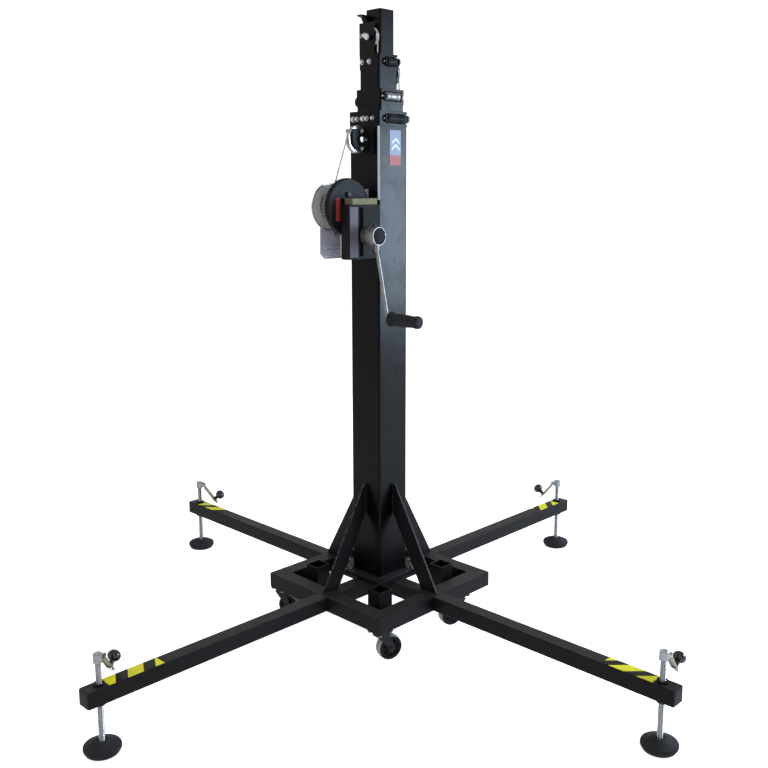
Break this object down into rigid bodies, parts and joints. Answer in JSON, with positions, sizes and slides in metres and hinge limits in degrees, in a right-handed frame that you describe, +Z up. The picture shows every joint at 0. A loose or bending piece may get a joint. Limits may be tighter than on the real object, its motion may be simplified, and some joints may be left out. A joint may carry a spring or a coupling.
{
  "type": "crank lighting stand",
  "caption": "Telescopic lighting mast on a wheeled square base, with plug-in outriggers on screw jacks and a geared hand-crank winch that raises the sections by cable.",
  "frame": {"origin": "on the floor, under the mast's axis, midway between the four jack pads", "axes": "+Z up the mast; -Y towards the outrigger below the winch; +X towards the crank handle"},
  "size_m": [2.096, 2.096, 1.9223],
  "materials": {
    "satin_black_paint": "satin black powder coat on steel tube",
    "bright_zinc": "bright zinc-plated steel",
    "yellow_zinc": "yellow-passivated zinc-plated steel",
    "black_rubber": "moulded black rubber",
    "black_plastic": "moulded black plastic",
    "grey_tread": "grey tread on a dark moulded disc",
    "cast_grey": "grey painted metal",
    "cable_steel": "stranded steel cable",
    "hazard_tape": "yellow and black striped tape",
    "label_film": "plain coloured sticker film, with no text"
  },
  "bodies": {
    "base": {"base_frame": "satin_black_paint", "foot_plate": "satin_black_paint", "brace_a": "satin_black_paint", "brace_b": "satin_black_paint", "brace_c": "satin_black_paint", "brace_d": "satin_black_paint", "caster_plate_a": "satin_black_paint", "caster_plate_b": "satin_black_paint", "caster_plate_c": "satin_black_paint", "caster_plate_d": "satin_black_paint", "mast_outer": "satin_black_paint", "head_pulley_bracket": "satin_black_paint", "lift_cable": "cable_steel", "lift_cable_inner": "cable_steel", "winch_frame": "cast_grey", "gear_cover": "black_plastic", "brake_housing": "cast_grey", "housing_cap": "yellow_zinc"},
    "caster_fork_a": {"caster_fork_a": "satin_black_paint"},
    "caster_wheel_a": {"caster_wheel_a": "grey_tread"},
    "caster_fork_b": {"caster_fork_b": "satin_black_paint"},
    "caster_wheel_b": {"caster_wheel_b": "grey_tread"},
    "caster_fork_c": {"caster_fork_c": "satin_black_paint"},
    "caster_wheel_c": {"caster_wheel_c": "grey_tread"},
    "caster_fork_d": {"caster_fork_d": "satin_black_paint"},
    "caster_wheel_d": {"caster_wheel_d": "grey_tread"},
    "outrigger_a": {"outrigger_beam_a": "satin_black_paint"},
    "jack_foot_a": {"jack_pad_a": "black_rubber"},
    "jack_screw_a": {"jack_screw_a": "bright_zinc"},
    "jack_lever_a": {"jack_lever_a": "yellow_zinc", "lever_knob_a": "black_plastic"},
    "outrigger_b": {"outrigger_beam_b": "satin_black_paint"},
    "jack_foot_b": {"jack_pad_b": "black_rubber"},
    "jack_screw_b": {"jack_screw_b": "bright_zinc"},
    "jack_lever_b": {"jack_lever_b": "yellow_zinc", "lever_knob_b": "black_plastic"},
    "outrigger_c": {"outrigger_beam_c": "satin_black_paint"},
    "jack_foot_c": {"jack_pad_c": "black_rubber"},
    "jack_screw_c": {"jack_screw_c": "bright_zinc"},
    "jack_lever_c": {"jack_lever_c": "yellow_zinc", "lever_knob_c": "black_plastic"},
    "outrigger_d": {"outrigger_beam_d": "satin_black_paint"},
    "jack_foot_d": {"jack_pad_d": "black_rubber"},
    "jack_screw_d": {"jack_screw_d": "bright_zinc"},
    "jack_lever_d": {"jack_lever_d": "yellow_zinc", "lever_knob_d": "black_plastic"},
    "section_2": {"mast_section_2": "satin_black_paint"},
    "section_3": {"mast_section_3": "satin_black_paint"},
    "section_4": {"mast_section_4": "satin_black_paint", "top_cap": "satin_black_paint"},
    "drum": {"winch_drum": "bright_zinc"},
    "crank": {"crank_shaft": "bright_zinc", "crank_arm": "bright_zinc"},
    "grip": {"crank_grip": "black_plastic"},
    "head_pulley": {"head_pulley": "bright_zinc"},
    "pulley_2": {"pulley_section_2": "bright_zinc"},
    "pulley_3": {"pulley_section_3": "bright_zinc"},
    "roller_1": {"guide_roller_1": "black_plastic"},
    "roller_2": {"guide_roller_2": "bright_zinc"},
    "roller_3": {"guide_roller_3": "black_plastic"}
  },
  "joints": [
    {"name": "caster_a_swivel", "type": "hinge", "parent": "base", "child": "caster_fork_a", "pos_m": [0.222, -0.222, 0.12], "axis": [0, 0, 1], "continuous": true},
    {"name": "caster_a_roll", "type": "hinge", "parent": "caster_fork_a", "child": "caster_wheel_a", "pos_m": [0.23075, -0.1954, 0.079], "axis": [-0.95, 0.3123, 0], "continuous": true},
    {"name": "caster_b_swivel", "type": "hinge", "parent": "base", "child": "caster_fork_b", "pos_m": [0.222, 0.13, 0.12], "axis": [0, 0, 1], "continuous": true},
    {"name": "caster_b_roll", "type": "hinge", "parent": "caster_fork_b", "child": "caster_wheel_b", "pos_m": [0.21242, 0.10369, 0.079], "axis": [0.9397, -0.342, 0], "continuous": true},
    {"name": "caster_c_swivel", "type": "hinge", "parent": "base", "child": "caster_fork_c", "pos_m": [-0.222, -0.222, 0.12], "axis": [0, 0, 1], "continuous": true},
    {"name": "caster_c_roll", "type": "hinge", "parent": "caster_fork_c", "child": "caster_wheel_c", "pos_m": [-0.19569, -0.21242, 0.079], "axis": [-0.342, 0.9397, 0], "continuous": true},
    {"name": "caster_d_swivel", "type": "hinge", "parent": "base", "child": "caster_fork_d", "pos_m": [-0.222, 0.13, 0.12], "axis": [0, 0, 1], "continuous": true},
    {"name": "caster_d_roll", "type": "hinge", "parent": "caster_fork_d", "child": "caster_wheel_d", "pos_m": [-0.19906, 0.14606, 0.079], "axis": [-0.5736, 0.8192, 0], "continuous": true},
    {"name": "outrigger_a_slide", "type": "slide", "parent": "base", "child": "outrigger_a", "axis": [0, -1, 0], "range_m": [0, 0.12]},
    {"name": "jack_a_lift", "type": "slide", "parent": "outrigger_a", "child": "jack_foot_a", "axis": [0, 0, 1], "range_m": [0, 0.09]},
    {"name": "jack_a_spin", "type": "hinge", "parent": "jack_foot_a", "child": "jack_screw_a", "pos_m": [0, -1, 0.15], "axis": [0, 0, 1], "continuous": true},
    {"name": "lever_a_fold", "type": "hinge", "parent": "jack_screw_a", "child": "jack_lever_a", "pos_m": [-0.00926, -0.98574, 0.256], "axis": [-0.8387, -0.5446, 0], "range_deg": [-52, 0]},
    {"name": "outrigger_b_slide", "type": "slide", "parent": "base", "child": "outrigger_b", "axis": [1, 0, 0], "range_m": [0, 0.12]},
    {"name": "jack_b_lift", "type": "slide", "parent": "outrigger_b", "child": "jack_foot_b", "axis": [0, 0, 1], "range_m": [0, 0.09]},
    {"name": "jack_b_spin", "type": "hinge", "parent": "jack_foot_b", "child": "jack_screw_b", "pos_m": [1, 0, 0.15], "axis": [0, 0, 1], "continuous": true},
    {"name": "lever_b_fold", "type": "hinge", "parent": "jack_screw_b", "child": "jack_lever_b", "pos_m": [1, 0.017, 0.256], "axis": [-1, 0, 0], "range_deg": [-52, 0]},
    {"name": "outrigger_c_slide", "type": "slide", "parent": "base", "child": "outrigger_c", "axis": [-1, 0, 0], "range_m": [0, 0.12]},
    {"name": "jack_c_lift", "type": "slide", "parent": "outrigger_c", "child": "jack_foot_c", "axis": [0, 0, 1], "range_m": [0, 0.09]},
    {"name": "jack_c_spin", "type": "hinge", "parent": "jack_foot_c", "child": "jack_screw_c", "pos_m": [-1, 0, 0.15], "axis": [0, 0, 1], "continuous": true},
    {"name": "lever_c_fold", "type": "hinge", "parent": "jack_screw_c", "child": "jack_lever_c", "pos_m": [-0.98625, 0.00999, 0.256], "axis": [-0.5878, 0.809, 0], "range_deg": [-52, 0]},
    {"name": "outrigger_d_slide", "type": "slide", "parent": "base", "child": "outrigger_d", "axis": [0, 1, 0], "range_m": [0, 0.12]},
    {"name": "jack_d_lift", "type": "slide", "parent": "outrigger_d", "child": "jack_foot_d", "axis": [0, 0, 1], "range_m": [0, 0.09]},
    {"name": "jack_d_spin", "type": "hinge", "parent": "jack_foot_d", "child": "jack_screw_d", "pos_m": [0, 1, 0.15], "axis": [0, 0, 1], "continuous": true},
    {"name": "lever_d_fold", "type": "hinge", "parent": "jack_screw_d", "child": "jack_lever_d", "pos_m": [-0.01683, 0.99763, 0.256], "axis": [0.1392, -0.9903, 0], "range_deg": [-52, 0]},
    {"name": "section_2_lift", "type": "slide", "parent": "base", "child": "section_2", "axis": [0, 0, 1], "range_m": [0, 1.11], "deforming": ["lift_cable_inner"]},
    {"name": "section_3_lift", "type": "slide", "parent": "section_2", "child": "section_3", "axis": [0, 0, 1], "range_m": [0, 1.11]},
    {"name": "section_4_lift", "type": "slide", "parent": "section_3", "child": "section_4", "axis": [0, 0, 1], "range_m": [0, 1.11]},
    {"name": "drum_spin", "type": "hinge", "parent": "base", "child": "drum", "pos_m": [0, -0.155, 1.354], "axis": [1, 0, 0], "continuous": true},
    {"name": "crank_spin", "type": "hinge", "parent": "base", "child": "crank", "pos_m": [0, -0.125, 1.272], "axis": [1, 0, 0], "continuous": true},
    {"name": "grip_spin", "type": "hinge", "parent": "crank", "child": "grip", "pos_m": [0.2, -0.125, 1.037], "axis": [1, 0, 0], "continuous": true},
    {"name": "head_pulley_spin", "type": "hinge", "parent": "base", "child": "head_pulley", "pos_m": [0, -0.0891, 1.548], "axis": [1, 0, 0], "continuous": true},
    {"name": "pulley_2_spin", "type": "hinge", "parent": "section_2", "child": "pulley_2", "pos_m": [0.006, 0.0475, 1.742], "axis": [0, 1, 0], "continuous": true},
    {"name": "pulley_3_spin", "type": "hinge", "parent": "section_3", "child": "pulley_3", "pos_m": [0, -0.029, 1.842], "axis": [0, 1, 0], "continuous": true},
    {"name": "roller_1_spin", "type": "hinge", "parent": "base", "child": "roller_1", "pos_m": [0.0628, 0.0075, 1.609], "axis": [0, 1, 0], "continuous": true},
    {"name": "roller_2_spin", "type": "hinge", "parent": "section_2", "child": "roller_2", "pos_m": [0.0528, 0.001, 1.673], "axis": [0, 1, 0], "continuous": true},
    {"name": "roller_3_spin", "type": "hinge", "parent": "section_3", "child": "roller_3", "pos_m": [0.0428, 0.0075, 1.773], "axis": [0, 1, 0], "continuous": true}
  ],
  "couplings": [
    {"joint": "jack_a_spin", "follows": "jack_a_lift", "rad_per_m": 1570.8},
    {"joint": "jack_b_spin", "follows": "jack_b_lift", "rad_per_m": 1570.8},
    {"joint": "jack_c_spin", "follows": "jack_c_lift", "rad_per_m": 1570.8},
    {"joint": "jack_d_spin", "follows": "jack_d_lift", "rad_per_m": 1570.8},
    {"joint": "section_3_lift", "follows": "section_2_lift", "ratio": 1},
    {"joint": "section_4_lift", "follows": "section_2_lift", "ratio": 1},
    {"joint": "drum_spin", "follows": "section_2_lift", "rad_per_m": 21.505},
    {"joint": "crank_spin", "follows": "section_2_lift", "rad_per_m": -103.23},
    {"joint": "head_pulley_spin", "follows": "section_2_lift", "rad_per_m": 25.773},
    {"joint": "pulley_2_spin", "follows": "section_2_lift", "rad_per_m": -31.746},
    {"joint": "pulley_3_spin", "follows": "section_2_lift", "rad_per_m": -41.667},
    {"joint": "roller_1_spin", "follows": "section_2_lift", "rad_per_m": 80},
    {"joint": "roller_2_spin", "follows": "section_2_lift", "rad_per_m": 80},
    {"joint": "roller_3_spin", "follows": "section_2_lift", "rad_per_m": 80}
  ]
}
